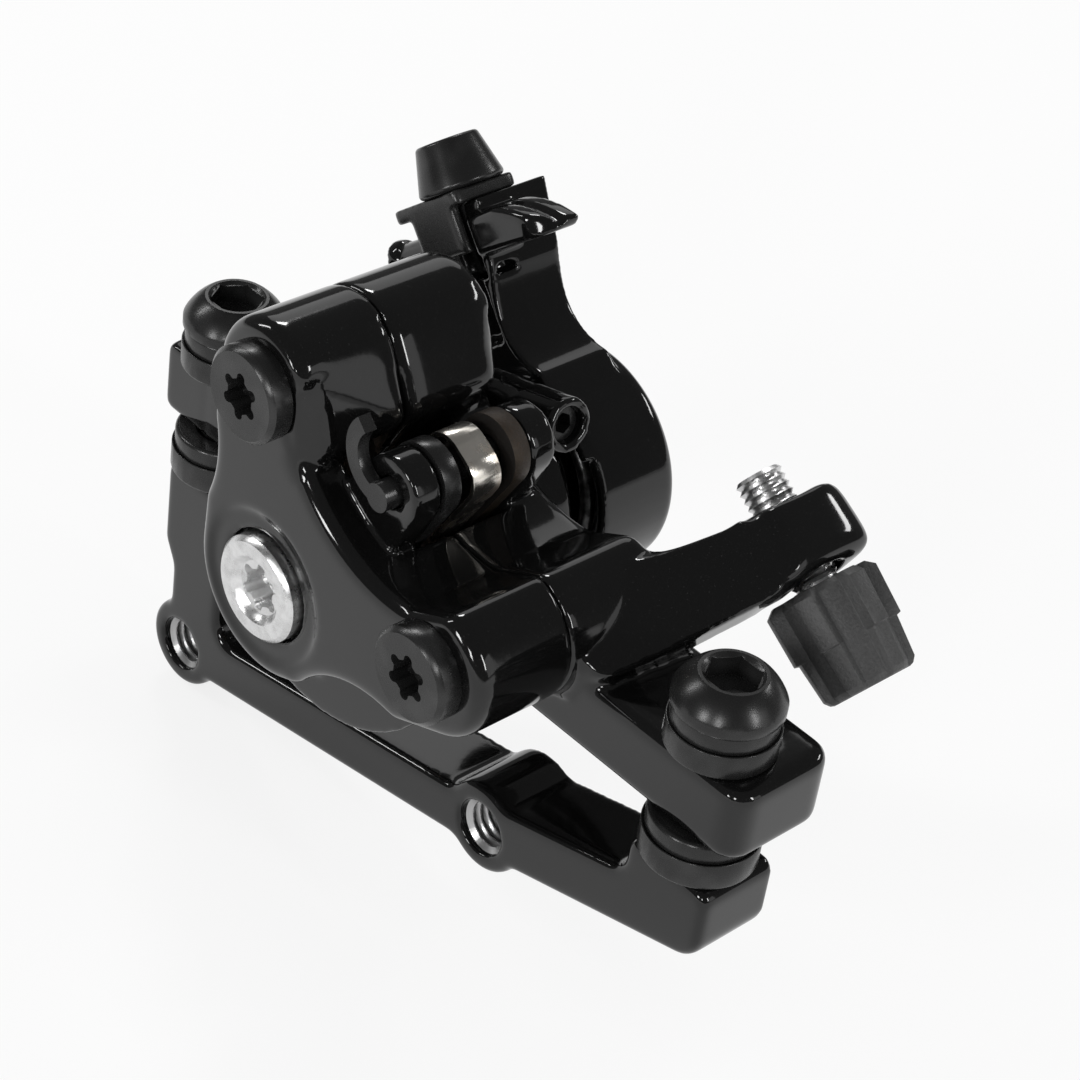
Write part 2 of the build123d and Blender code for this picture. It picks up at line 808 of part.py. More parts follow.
def actuator_shaft():
    shaft = disc(flange_radius, flange_front, flange_back)
    shaft += disc(shaft_radius, flange_back, shaft_shoulder)
    half = square_width / 2
    shaft += block(-half, half, shaft_shoulder, square_end, -half, half)
    for index in range(ball_count):
        shaft -= ball_track(90 + index * 360 / ball_count)
    shaft -= disc(m5_core, shaft_shoulder, square_end + overrun)
    return shaft


def thrust_washer():
    return ring(flange_radius, thrust_hole, flange_back, bore_end)


def shaft_seal():
    low = shaft_seal_distance + seat_gap
    high = shaft_seal_distance + shaft_seal_width - seat_gap
    return ring(shaft_radius + shaft_seal_depth - seat_gap, shaft_radius + shaft_clearance, low, high)


def arm_point(out, across):
    """A place in x and z from its distance out along the arm and across it."""
    turn = math.radians(arm_turn)
    return (out * math.cos(turn) + across * math.sin(turn), out * math.sin(turn) - across * math.cos(turn))


def arm_plane(out, across, place):
    """A plane square to the arm, with its normal out along the arm and its x across it."""
    turn = math.radians(arm_turn)
    x, z = arm_point(out, across)
    across_way = (math.sin(turn), 0, -math.cos(turn))
    out_way = (math.cos(turn), 0, math.sin(turn))
    return Plane(origin=(x, place, z), x_dir=across_way, z_dir=out_way)


def arm_face():
    """The arm seen from the inboard side, from the cup out to the clamp's seat."""
    top = [(out * arm_end, across * arm_top_width) for out, across in arm_top_shares]
    start = arm_point(0, cup_radius)
    upper = [arm_point(out, across) for out, across in top]
    shoulder = arm_point(arm_end, arm_top_width)
    corner = arm_point(arm_end, arm_low_edge)
    root = arm_point(cup_radius * arm_hub_share, arm_low_edge - arm_root_drop)
    rest = Polyline(upper[-1], shoulder, corner, root, (0, 0), start)
    return make_face(Line(start, upper[0]) + Spline(*upper) + rest)


def nose_curve():
    """The beak's back, where the cable lies: from the clamp down to the tip."""
    middle = arm_point(nose_far - nose_belly, (nose_top + nose_tip) / 2)
    return ThreePointArc(arm_point(nose_far, nose_top), middle, arm_point(nose_near + nose_blunt, nose_tip))


def nose_face_outline():
    curve = nose_curve()
    root = arm_point(nose_near, arm_top_width - nose_root)
    shoulder = arm_point(nose_far, arm_top_width - nose_root)
    tip = arm_point(nose_near, nose_tip - nose_blunt)
    return make_face(curve + Polyline(curve @ 1, tip, root, shoulder, curve @ 0))


def lever_nose():
    """The beak that leads the cable onto the arm: its side outline and its plan, cut to what they share."""
    side = slab(nose_face_outline(), nose_face, nose_back)
    root = arm_top_width - nose_root
    cheek = ThreePointArc((nose_cheek, nose_face), (nose_cheek_bow, nose_bow_place), (nose_tip, nose_back))
    rest = Polyline((nose_tip, nose_back), (root, nose_back), (root, nose_face), (nose_cheek, nose_face))
    plan = make_face(cheek + rest)
    plan = extrude(arm_plane(nose_near - overrun, 0, 0) * plan, amount=nose_far - nose_near + 2 * overrun)
    nose = side & plan
    nose = fillet(nose.faces().sort_by(Axis.Y)[0].edges(), nose_round)
    low = groove_place - groove_radius / 2
    return nose - slab(trace(nose_curve(), groove_radius), low, low + groove_radius)


def lever_arm():
    cup = disc(cup_radius, cup_rim, cup_back)
    cup = fillet(cup.faces().sort_by(Axis.Y)[-1].edges(), cup_back_round)
    arm = slab(arm_face(), arm_inboard, arm_outboard)
    lever = cup + arm + lever_nose()
    floor = cup_back - cup_floor_thickness
    lever -= disc(cup_radius - cup_wall, arm_inboard - overrun, floor)
    lever += disc(cup_boss_radius, shaft_shoulder, floor)
    half = square_width / 2 + shaft_clearance
    lever -= block(-half, half, shaft_shoulder - overrun, square_end + running_gap, -half, half)
    lever -= disc(m5_radius + pin_gap, square_end, cup_back + overrun)
    hole_plane = arm_plane(arm_end - clamp_bolt_length, clamp_bolt_across, clamp_bolt_place)
    lever -= extrude(hole_plane * Circle(m5_radius + pin_gap), amount=clamp_bolt_length + overrun)
    lever -= spring_hole(floor - overrun, floor + lever_tang_depth, spring_end_angle())
    horn = arm_plane(horn_place, arm_low_edge - horn_length, horn_side)
    horn_axis = Plane(origin=horn.origin, z_dir=horn.x_dir)
    lever += extrude(horn_axis * Circle(horn_radius), amount=horn_length + overrun)
    lever += extrude(horn_axis * Circle(horn_flare_radius), amount=horn_radius, taper=horn_flare)
    return lever


def spring_end_angle():
    return spring_start_angle + 360 * spring_turns


def helix_point(turn):
    """A point of the coil, and its direction, at an angle in degrees from the x axis."""
    angle = math.radians(turn)
    height = spring_start + spring_pitch * (turn - spring_start_angle) / 360
    point = Vector(spring_radius * math.cos(angle), height, spring_radius * math.sin(angle))
    rise = spring_pitch / (2 * math.pi)
    direction = Vector(-spring_radius * math.sin(angle), rise, spring_radius * math.cos(angle)).normalized()
    return point, direction


def biarc(start, start_way, end, end_way):
    """Two arcs that join two points and keep the direction at both."""
    chord = end - start
    ways = start_way + end_way
    spread = 2 * (1 - start_way.dot(end_way))
    along = chord.dot(ways)
    reach = (-along + math.sqrt(along ** 2 + spread * chord.dot(chord))) / spread
    joint = (start + end + (start_way - end_way) * reach) / 2
    first = TangentArc(start, joint, tangent=start_way)
    return first, TangentArc(joint, end, tangent=first % 1)


def tang_bend(point, way, axial, sign):
    """The bend from the coil's end to a straight tang along the axis: its far point."""
    side = (way - axial * way.dot(axial)).normalized()
    cosine = way.dot(axial)
    sine = math.sqrt(1 - cosine ** 2)
    return point - axial * (spring_bend * sine * sign) - side * (spring_bend * (1 - cosine) * sign)


def spring_path():
    axial = Vector(0, 1, 0)
    start, start_way = helix_point(spring_start_angle)
    end, end_way = helix_point(spring_end_angle())
    foot = tang_bend(start, start_way, axial, 1)
    head = tang_bend(end, end_way, axial, -1)
    edges = [Line(foot - axial * spring_tang, foot), TangentArc(foot, start, tangent=axial)]
    quarters = 4 * spring_turns
    for index in range(quarters):
        low, low_way = helix_point(spring_start_angle + 90 * index)
        high, high_way = helix_point(spring_start_angle + 90 * (index + 1))
        edges.extend(biarc(low, low_way, high, high_way))
    edges.append(TangentArc(end, head, tangent=end_way))
    edges.append(Line(head, head + axial * spring_tang))
    return Wire(edges)


def spring_hole(low, high, turn):
    """A hole for the spring's tang, in line with it."""
    point, way = helix_point(turn)
    axial = Vector(0, 1, 0)
    place = tang_bend(point, way, axial, 1 if turn == spring_start_angle else -1)
    return disc(spring_wire / 2 + spring_hole_gap, low, high, place.X, place.Z)


def return_spring():
    path = spring_path()
    section = Plane(origin=path @ 0, z_dir=path % 0) * Circle(spring_wire / 2)
    return sweep(section, path)


def clamp_plate():
    outline = rectangle(clamp_low, clamp_high, clamp_tab_face, clamp_outboard)
    outline = softened(outline, clamp_round, clamp_round)
    plate = extrude(arm_plane(arm_end, 0, 0) * outline, amount=clamp_thickness)
    tab = rectangle(clamp_tab_low, clamp_tab_high, clamp_tab_face, clamp_tab_face + clamp_tab_thickness)
    tab = extrude(arm_plane(arm_end - clamp_tab_drop, 0, 0) * tab, amount=clamp_tab_drop + clamp_thickness)
    tab = fillet(tab.faces().sort_by(Axis.Y)[0].edges(), clamp_thickness / 2)
    plate += tab
    hole = arm_plane(arm_end - overrun, clamp_bolt_across, clamp_bolt_place) * Circle(m5_radius + pin_gap)
    return plate - extrude(hole, amount=clamp_thickness + 2 * overrun)


def clamp_bolt():
    """The clamp's screw, with a head that narrows towards its top."""
    seat = arm_end + clamp_thickness
    axis = arm_plane(seat, clamp_bolt_across, clamp_bolt_place)
    head = Cone(clamp_head_foot_radius, clamp_head_top_radius, clamp_head_height)
    head = fillet(head.edges().filter_by(GeomType.CIRCLE), clamp_head_round)
    bolt = Pos(0, 0, clamp_head_height / 2) * head
    bolt += upright(m5_radius, clamp_thickness - clamp_bolt_length, 0)
    bolt -= hex_socket(clamp_head_socket, clamp_head_height - clamp_socket_depth, clamp_head_height + overrun)
    return axis.location * bolt


def lever_washer():
    return ring(lever_washer_radius, m5_radius + pin_gap, cup_back, cup_back + lever_washer_thickness)


def lever_bolt():
    seat = cup_back + lever_washer_thickness
    bolt = disc(lever_bolt_head_radius, seat, seat + lever_bolt_head_height)
    bolt = fillet(bolt.faces().sort_by(Axis.Y)[-1].edges(), lever_bolt_round)
    bolt += disc(m5_radius, square_end + running_gap, seat)
    bolt += disc(m5_core - seat_gap, square_end - lever_bolt_grip, square_end + running_gap)
    top = seat + lever_bolt_head_height
    socket = RegularPolygon(lever_bolt_socket / 2, 6, major_radius=False)
    return bolt - slab(socket, top - lever_bolt_socket_depth, top + overrun)


def tension_screw():
    screw = upright(tension_screw_radius - shaft_clearance, -tension_screw_length, 0)
    screw -= hex_socket(tension_socket, -tension_socket_depth, overrun)
    return tension_line() * Pos(0, 0, -tension_recess) * screw


def barrel_line():
    """The barrel adjuster's axis from its inner tip, with z out towards the knob."""
    return Pos(barrel_tip, barrel_axis_side, barrel_tip_height) * Rot(0, 90 - barrel_turn, 0)


def thread_points(core, crest, pitch, start, end):
    """The half outline of a run of thread ridges, as radius and height."""
    count = int((end - start) / pitch)
    points = []
    for index in range(count):
        low = start + index * pitch
        points.extend(((core, low), (crest, low + pitch / 2)))
    points.append((core, start + count * pitch))
    return points


def barrel_adjuster():
    """The hollow screw: threaded through the stop arm, with a head that the knob turns on."""
    thread = thread_points(m5_radius - barrel_ridge, m5_radius, m5_pitch, 0, barrel_head_start)
    head = [(m5_radius - barrel_ridge, barrel_head_start), (barrel_head_radius, barrel_head_start),
            (barrel_head_radius, barrel_length), (0, barrel_length)]
    screw = turned([(0, 0)] + thread + head)
    screw -= upright(barrel_bore, -overrun, barrel_length)
    screw -= upright(barrel_seat_radius, barrel_length - barrel_seat_depth, barrel_length + overrun)
    return barrel_line() * screw


def adjuster_knob():
    """The ribbed knob on the barrel's head: six flats with raised grips that stop short of its end."""
    start = knob_start
    end = start + knob_length
    knob = Pos(0, 0, (start + end) / 2) * Cone(knob_near_radius, knob_far_radius, knob_length)
    grip_length = knob_length * knob_rib_share
    for index in range(knob_ribs):
        grip = Box(2 * knob_rib_height, knob_rib_width, grip_length)
        grip = Pos(knob_near_radius, 0, start + grip_length / 2) * grip
        knob += Rot(0, 0, index * 360 / knob_ribs) * grip
    knob -= upright(barrel_head_radius + shaft_clearance, start - overrun, barrel_length + running_gap)
    knob -= upright(knob_recess_radius, barrel_length, end + overrun)
    return barrel_line() * knob


def check_spring():
    """Prints the least gap between neighbouring turns, measured on points along the coil."""
    samples = spring_turns * spring_samples
    points = []
    for index in range(samples + 1):
        points.append(helix_point(spring_start_angle + index * 360 / spring_samples)[0])
    gaps = []
    for low in range(len(points)):
        for high in range(low + spring_samples // 2, len(points)):
            gaps.append((points[high] - points[low]).length - spring_wire)
    print("least gap between the spring's turns", round(min(gaps), 3))


def on_caliper(piece):
    return caliper_place * piece


pieces = {
    "adapter_bracket": adapter_bracket(),
    "post_mount_bolts": at_posts(post_bolt()),
    "lower_cup_washers": at_posts(cup_washer(foot_height, lower_rim, washer_radius)),
    "lower_ball_washers": at_posts(ball_washer(lower_rim, ear_bottom, washer_radius)),
    "upper_cup_washers": at_posts(cup_washer(ear_top, upper_rim, upper_washer_radius)),
    "upper_ball_washers": at_posts(ball_washer(upper_rim, head_seat, upper_washer_radius)),
    "outboard_body": on_caliper(outboard_body()),
    "inboard_body": on_caliper(inboard_body()),
    "body_screws": on_caliper(Compound([body_screw(*place) for place in screw_places()])),
    "pad_adjuster": on_caliper(pad_adjuster()),
    "adjuster_ring": on_caliper(adjuster_ring()),
    "inboard_pad_backing": on_caliper(pad_backing(inboard_pad_back, inboard_backing)),
    "inboard_pad_friction": on_caliper(pad_friction(inboard_backing, inboard_lining)),
    "outboard_pad_backing": on_caliper(pad_backing(outboard_backing, outboard_pad_back)),
    "outboard_pad_friction": on_caliper(pad_friction(outboard_lining, outboard_backing)),
    "pad_spring": on_caliper(pad_spring()),
    "pad_pin": on_caliper(pad_pin()),
    "pressure_foot": on_caliper(pressure_foot()),
    "ramp_plate": on_caliper(ramp_plate()),
    "dust_seal": on_caliper(dust_seal()),
    "ramp_balls": on_caliper(ramp_balls()),
    "actuator_shaft": on_caliper(actuator_shaft()),
    "thrust_washer": on_caliper(thrust_washer()),
    "shaft_seal": on_caliper(shaft_seal()),
    "lever_arm": on_caliper(lever_arm()),
    "lever_washer": on_caliper(lever_washer()),
    "lever_bolt": on_caliper(lever_bolt()),
    "return_spring": on_caliper(return_spring()),
    "clamp_plate": on_caliper(clamp_plate()),
    "clamp_bolt": on_caliper(clamp_bolt()),
    "tension_screw": on_caliper(tension_screw()),
    "barrel_adjuster": on_caliper(barrel_adjuster()),
    "adjuster_knob": on_caliper(adjuster_knob()),
}

os.makedirs("parts", exist_ok=True)
for name, piece in pieces.items():
    export_step(piece, "parts/" + name + ".step")
check_spring()
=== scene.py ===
import bpy
import bmesh
import math
from mathutils import Matrix, Vector


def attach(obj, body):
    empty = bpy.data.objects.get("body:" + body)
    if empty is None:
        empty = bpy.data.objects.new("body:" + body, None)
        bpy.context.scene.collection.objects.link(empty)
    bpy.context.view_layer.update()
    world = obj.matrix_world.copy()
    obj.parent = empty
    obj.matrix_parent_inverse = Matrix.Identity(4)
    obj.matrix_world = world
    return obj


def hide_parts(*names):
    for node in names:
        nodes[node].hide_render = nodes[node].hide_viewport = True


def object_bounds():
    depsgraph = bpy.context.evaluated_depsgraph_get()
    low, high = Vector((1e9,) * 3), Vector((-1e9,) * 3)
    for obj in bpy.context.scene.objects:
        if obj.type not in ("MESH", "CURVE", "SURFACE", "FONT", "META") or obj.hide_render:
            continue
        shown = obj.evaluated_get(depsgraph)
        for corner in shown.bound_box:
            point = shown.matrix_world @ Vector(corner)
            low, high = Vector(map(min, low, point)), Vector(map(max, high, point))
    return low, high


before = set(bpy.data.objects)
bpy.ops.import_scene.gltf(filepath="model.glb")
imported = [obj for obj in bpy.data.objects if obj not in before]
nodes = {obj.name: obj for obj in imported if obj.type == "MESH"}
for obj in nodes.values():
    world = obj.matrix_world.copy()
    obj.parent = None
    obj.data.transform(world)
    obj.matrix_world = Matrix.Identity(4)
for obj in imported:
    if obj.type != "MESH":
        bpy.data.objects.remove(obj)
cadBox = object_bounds()
mm = 0.001


# Shader maths: a Wire is one output of a node, and sums on it add Math nodes
class Wire:
    def __init__(self, tree, socket):
        self.tree = tree
        self.socket = socket

    def combine(self, operation, first, second=0.0):
        return addNode(self.tree, "Math", {"operation": operation}, [first, second])

    def __add__(self, other):
        return self.combine("ADD", self, other)

    def __sub__(self, other):
        return self.combine("SUBTRACT", self, other)

    def __mul__(self, other):
        return self.combine("MULTIPLY", self, other)

    def __lt__(self, other):
        return self.combine("LESS_THAN", self, other)

    def __radd__(self, other):
        return self.combine("ADD", other, self)

    def __rsub__(self, other):
        return self.combine("SUBTRACT", other, self)


def addNode(tree, kind, settings=None, sockets=None, out=0):
    node = tree.nodes.new("ShaderNode" + kind)
    for name, value in (settings or {}).items():
        setattr(node, name, value)
    pairs = enumerate(sockets) if isinstance(sockets, list) else (sockets or {}).items()
    for key, value in pairs:
        if isinstance(value, Wire):
            tree.links.new(value.socket, node.inputs[key])
        else:
            node.inputs[key].default_value = value
    return Wire(tree, node.outputs[out]) if node.outputs else node


def emptyTree(owner):
    owner.use_nodes = True
    owner.node_tree.nodes.clear()
    return owner.node_tree


def lightRays(tree):
    names = ("Is Camera Ray", "Is Glossy Ray", "Is Transmission Ray")
    return [addNode(tree, "LightPath", out=name) for name in names]


def grey(value):
    return (value, value, value, 1)


# The Mix node's colour sockets are inputs 6 and 7 and output 2
def blendColours(tree, share, low, high):
    return addNode(tree, "Mix", {"data_type": "RGBA"}, {0: share, 6: low, 7: high}, out=2)


def blendGreys(tree, share, low, high):
    return blendColours(tree, share, grey(low), grey(high))


def noise(tree, place, scale, detail=2.0, roughness=0.5):
    sockets = {"Vector": place, "Scale": scale, "Detail": detail, "Roughness": roughness}
    return addNode(tree, "TexNoise", {}, sockets)


def drawnLines(tree, place, stretch, detail):
    drawn = addNode(tree, "Mapping", {}, {"Vector": place, "Scale": stretch})
    return noise(tree, drawn, 1.0, detail)


def spread(tree, value, low, high):
    return addNode(tree, "MapRange", {"clamp": True}, {0: value, 1: low, 2: high})


def bump(tree, height, strength, distance):
    return addNode(tree, "Bump", {}, {"Strength": strength, "Distance": distance * mm, "Height": height})


def finish(name, build, look):
    material = bpy.data.materials.new(name)
    tree = emptyTree(material)
    sockets = dict(look.get("fixed", {}))
    sockets.update(build(tree, addNode(tree, "TexCoord", out="Object"), look))
    surface = addNode(tree, "BsdfPrincipled", {}, sockets)
    addNode(tree, "OutputMaterial", {}, {"Surface": surface})
    return material


# Gloss black powder coat: faint orange peel, slow waves of the casting under it, a little dust
paint = {
    "colour": 0.0035, "dustColour": 0.3, "dustShare": 0.04,
    "peel": {"scale": 900, "detail": 3.0}, "peelShare": 0.25, "wave": {"scale": 150, "detail": 1.0},
    "dust": {"scale": 5200}, "dustRange": (0.66, 0.74),
    "roughness": 0.06, "waveRoughness": 0.05, "dustRoughness": 0.08,
    "bump": {"strength": 0.3, "distance": 0.05},
    "fixed": {"IOR": 1.42, "Coat Weight": 0.2, "Coat Roughness": 0.03},
}


def paintNodes(tree, place, look):
    peel = noise(tree, place, **look["peel"])
    wave = noise(tree, place, **look["wave"])
    dust = spread(tree, noise(tree, place, **look["dust"]), *look["dustRange"])
    return {
        "Base Color": blendGreys(tree, dust * look["dustShare"], look["colour"], look["dustColour"]),
        "Roughness": look["roughness"] + wave * look["waveRoughness"] + dust * look["dustRoughness"],
        "Normal": bump(tree, peel * look["peelShare"] + wave, **look["bump"]),
    }


glossPaint = finish("glossBlackPaint", paintNodes, paint)

# Black oxide on turned and pressed steel
oxide = {
    "colour": 0.012, "worn": 0.03,
    "cloud": {"scale": 240}, "wearRange": (0.45, 0.8), "grain": {"scale": 7000},
    "roughness": 0.24, "grainRoughness": 0.08, "wearShine": 0.03,
    "bump": {"strength": 0.15, "distance": 0.02},
    "fixed": {"Metallic": 0.3, "IOR": 1.5},
}


def oxideNodes(tree, place, look):
    grain = noise(tree, place, **look["grain"])
    wear = spread(tree, noise(tree, place, **look["cloud"]), *look["wearRange"])
    return {
        "Base Color": blendGreys(tree, wear, look["colour"], look["worn"]),
        "Roughness": look["roughness"] + grain * look["grainRoughness"] - wear * look["wearShine"],
        "Normal": bump(tree, grain, **look["bump"]),
    }


blackOxide = finish("blackOxideSteel", oxideNodes, oxide)

# Bright zinc plate: soft mottling with tiny pits
zinc = {
    "light": 0.8, "dark": 0.62, "mottleRange": (0.35, 0.65),
    "mottle": {"scale": 700, "detail": 5.0, "roughness": 0.6}, "mottleRise": 0.4,
    "pits": {"scale": 3800, "detail": 3.0, "roughness": 0.6}, "pitRise": 0.5,
    "roughness": 0.2, "mottleRoughness": 0.06, "pitRoughness": 0.12,
    "bump": {"strength": 0.3, "distance": 0.04},
    "fixed": {"Metallic": 1.0},
}


def zincNodes(tree, place, look):
    mottle = noise(tree, place, **look["mottle"])
    pits = noise(tree, place, **look["pits"])
    share = spread(tree, mottle, *look["mottleRange"])
    return {
        "Base Color": blendGreys(tree, share, look["dark"], look["light"]),
        "Roughness": look["roughness"] + share * look["mottleRoughness"] + pits * look["pitRoughness"],
        "Normal": bump(tree, mottle * look["mottleRise"] + pits * look["pitRise"], **look["bump"]),
    }


zincPlate = finish("brightZinc", zincNodes, zinc)

# Nickel strip of the pad spring, stained where it was bent
nickel = {
    "light": (0.88, 0.84, 0.77, 1), "stain": (0.4, 0.33, 0.26, 1),
    "cloud": {"scale": 330, "detail": 4.0, "roughness": 0.6}, "stainRange": (0.52, 0.72),
    "lines": {"stretch": (600.0, 9000.0, 600.0), "detail": 2.0},
    "roughness": 0.16, "lineRoughness": 0.12, "stainRoughness": 0.2,
    "bump": {"strength": 0.2, "distance": 0.03},
    "fixed": {"Metallic": 1.0},
}


def nickelNodes(tree, place, look):
    stain = spread(tree, noise(tree, place, **look["cloud"]), *look["stainRange"])
    lines = drawnLines(tree, place, **look["lines"])
    return {
        "Base Color": blendColours(tree, stain, look["light"], look["stain"]),
        "Roughness": look["roughness"] + lines * look["lineRoughness"] + stain * look["stainRoughness"],
        "Normal": bump(tree, lines, **look["bump"]),
    }


nickelStrip = finish("nickelStrip", nickelNodes, nickel)

# Stamped backing plate: brown oxide on the faces, gritty bare steel on the sheared edge
backing = {
    "brown": (0.009, 0.0072, 0.006, 1), "edge": (0.05, 0.034, 0.021, 1), "flatRange": (0.6, 0.9),
    "grit": {"scale": 3600, "detail": 5.0, "roughness": 0.7}, "gritShare": 0.6,
    "rust": {"scale": 380, "detail": 4.0, "roughness": 0.6}, "rustShare": 0.6,
    "flatShare": 0.35, "bareRange": (0.35, 0.85),
    "roughness": 0.55, "bareShine": 0.2, "metallic": 0.2, "bareMetallic": 0.5,
    "bump": {"strength": 0.6, "distance": 0.12},
}


def backingNodes(tree, place, look):
    normal = addNode(tree, "NewGeometry", out="Normal")
    facing = addNode(tree, "SeparateXYZ", {}, [normal], out="Y")
    flat = spread(tree, facing.combine("ABSOLUTE", facing), *look["flatRange"])
    grit = noise(tree, place, **look["grit"])
    rust = noise(tree, place, **look["rust"])
    worn = grit * look["gritShare"] + rust * look["rustShare"] - flat * look["flatShare"]
    bare = spread(tree, worn, *look["bareRange"])
    return {
        "Base Color": blendColours(tree, bare, look["brown"], look["edge"]),
        "Roughness": look["roughness"] - bare * look["bareShine"],
        "Metallic": look["metallic"] + bare * look["bareMetallic"],
        "Normal": bump(tree, grit, **look["bump"]),
    }


backingSteel = finish("stampedBackingSteel", backingNodes, backing)

# Brake lining: pressed grit with bright metal flecks
lining = {
    "dark": (0.045, 0.034, 0.028, 1), "light": (0.16, 0.115, 0.085, 1), "fleck": (0.62, 0.45, 0.3, 1),
    "grain": {"scale": 1500, "detail": 5.0, "roughness": 0.7}, "grainRange": (0.35, 0.7),
    "cells": 2600.0, "fleckSize": 0.16,
    "roughness": 0.85, "fleckShine": 0.4, "fleckMetallic": 0.9,
    "bump": {"strength": 0.8, "distance": 0.15},
}


def liningNodes(tree, place, look):
    grain = noise(tree, place, **look["grain"])
    cells = addNode(tree, "TexVoronoi", {}, {"Vector": place, "Scale": look["cells"]})
    fleck = cells < look["fleckSize"]
    ground = blendColours(tree, spread(tree, grain, *look["grainRange"]), look["dark"], look["light"])
    return {
        "Base Color": blendColours(tree, fleck, ground, look["fleck"]),
        "Roughness": look["roughness"] - fleck * look["fleckShine"],
        "Metallic": fleck * look["fleckMetallic"],
        "Normal": bump(tree, grain, **look["bump"]),
    }


padLining = finish("pressedLining", liningNodes, lining)

# Ground and hardened steel inside the actuator
groundSteel = {
    "light": 0.56, "dark": 0.4, "lines": {"stretch": (700.0, 9000.0, 700.0), "detail": 3.0},
    "roughness": 0.24, "lineRoughness": 0.16,
    "bump": {"strength": 0.25, "distance": 0.03},
    "fixed": {"Metallic": 1.0},
}


def groundNodes(tree, place, look):
    lines = drawnLines(tree, place, **look["lines"])
    return {
        "Base Color": blendGreys(tree, lines, look["dark"], look["light"]),
        "Roughness": look["roughness"] + lines * look["lineRoughness"],
        "Normal": bump(tree, lines, **look["bump"]),
    }


bareSteel = finish("groundSteel", groundNodes, groundSteel)

# Dark oiled spring wire
wire = {
    "dark": 0.03, "light": 0.16,
    "film": {"scale": 900, "detail": 4.0}, "filmRange": (0.4, 0.75), "grain": {"scale": 6000},
    "roughness": 0.22, "filmRoughness": 0.2,
    "bump": {"strength": 0.2, "distance": 0.03},
    "fixed": {"Metallic": 0.9},
}


def wireNodes(tree, place, look):
    film = noise(tree, place, **look["film"])
    return {
        "Base Color": blendGreys(tree, spread(tree, film, *look["filmRange"]), look["dark"], look["light"]),
        "Roughness": look["roughness"] + film * look["filmRoughness"],
        "Normal": bump(tree, noise(tree, place, **look["grain"]), **look["bump"]),
    }


springWire = finish("oiledSpringWire", wireNodes, wire)

# Moulded seal rubber
rubber = {
    "dark": 0.012, "light": 0.024, "grain": {"scale": 4200, "detail": 3.0},
    "roughness": 0.62, "grainRoughness": 0.15,
    "bump": {"strength": 0.3, "distance": 0.05},
}


def rubberNodes(tree, place, look):
    grain = noise(tree, place, **look["grain"])
    return {
        "Base Color": blendGreys(tree, grain, look["dark"], look["light"]),
        "Roughness": look["roughness"] + grain * look["grainRoughness"],
        "Normal": bump(tree, grain, **look["bump"]),
    }


sealRubber = finish("sealRubber", rubberNodes, rubber)

# Spark-eroded grain of the moulded knob
knobLook = {
    "dark": 0.02, "light": 0.07,
    "grain": {"scale": 3400, "detail": 4.0, "roughness": 0.6}, "patch": {"scale": 260},
    "roughness": 0.34, "patchRoughness": 0.1, "grainRoughness": 0.14,
    "bump": {"strength": 0.55, "distance": 0.12},
    "fixed": {"IOR": 1.46},
}


def knobNodes(tree, place, look):
    grain = noise(tree, place, **look["grain"])
    patch = noise(tree, place, **look["patch"])
    return {
        "Base Color": blendGreys(tree, grain, look["dark"], look["light"]),
        "Roughness": look["roughness"] + patch * look["patchRoughness"] + grain * look["grainRoughness"],
        "Normal": bump(tree, grain, **look["bump"]),
    }


knobPlastic = finish("grainedKnobPlastic", knobNodes, knobLook)
print("finishes made:", len(bpy.data.materials))

# Which finish each CAD node wears
wears = {
    "adapter_bracket": glossPaint, "outboard_body": glossPaint, "inboard_body": glossPaint,
    "lever_arm": glossPaint, "post_mount_bolts": blackOxide, "body_screws": blackOxide,
    "lower_cup_washers": blackOxide, "lower_ball_washers": blackOxide,
    "upper_cup_washers": blackOxide, "upper_ball_washers": blackOxide,
    "pad_pin": blackOxide, "lever_washer": blackOxide, "lever_bolt": blackOxide,
    "clamp_plate": blackOxide, "clamp_bolt": blackOxide, "tension_screw": blackOxide,
    "pad_adjuster": zincPlate, "barrel_adjuster": zincPlate, "pad_spring": nickelStrip,
    "inboard_pad_backing": blackOxide, "outboard_pad_backing": backingSteel,
    "inboard_pad_friction": padLining, "outboard_pad_friction": padLining,
    "pressure_foot": bareSteel, "ramp_plate": bareSteel, "ramp_balls": bareSteel,
    "actuator_shaft": bareSteel, "thrust_washer": bareSteel, "return_spring": springWire,
    "dust_seal": sealRubber, "shaft_seal": sealRubber, "adjuster_ring": sealRubber,
    "adjuster_knob": knobPlastic,
}
for name, node in nodes.items():
    node.data.materials.clear()
    node.data.materials.append(wears[name])
print("CAD nodes dressed")

# Fine edge break on the turned and pressed parts, so that each edge takes a thin light
edgeBreak = {
    "weld": 0.002, "segments": 2, "angle": 32,
    "widths": {
        "post_mount_bolts": 0.14, "body_screws": 0.14, "pad_pin": 0.1, "lever_washer": 0.1,
        "lever_bolt": 0.12, "clamp_bolt": 0.12, "pad_adjuster": 0.1, "pad_spring": 0.06,
        "lower_cup_washers": 0.16, "lower_ball_washers": 0.14,
        "upper_cup_washers": 0.16, "upper_ball_washers": 0.14,
        "inboard_pad_backing": 0.14, "outboard_pad_backing": 0.14,
    },
}
for name, width in edgeBreak["widths"].items():
    weld = nodes[name].modifiers.new("weld", "WELD")
    weld.merge_threshold = edgeBreak["weld"] * mm
    chamfer = nodes[name].modifiers.new("edge", "BEVEL")
    chamfer.width = width * mm
    chamfer.segments = edgeBreak["segments"]
    chamfer.limit_method = "ANGLE"
    chamfer.angle_limit = math.radians(edgeBreak["angle"])
    chamfer.harden_normals = True

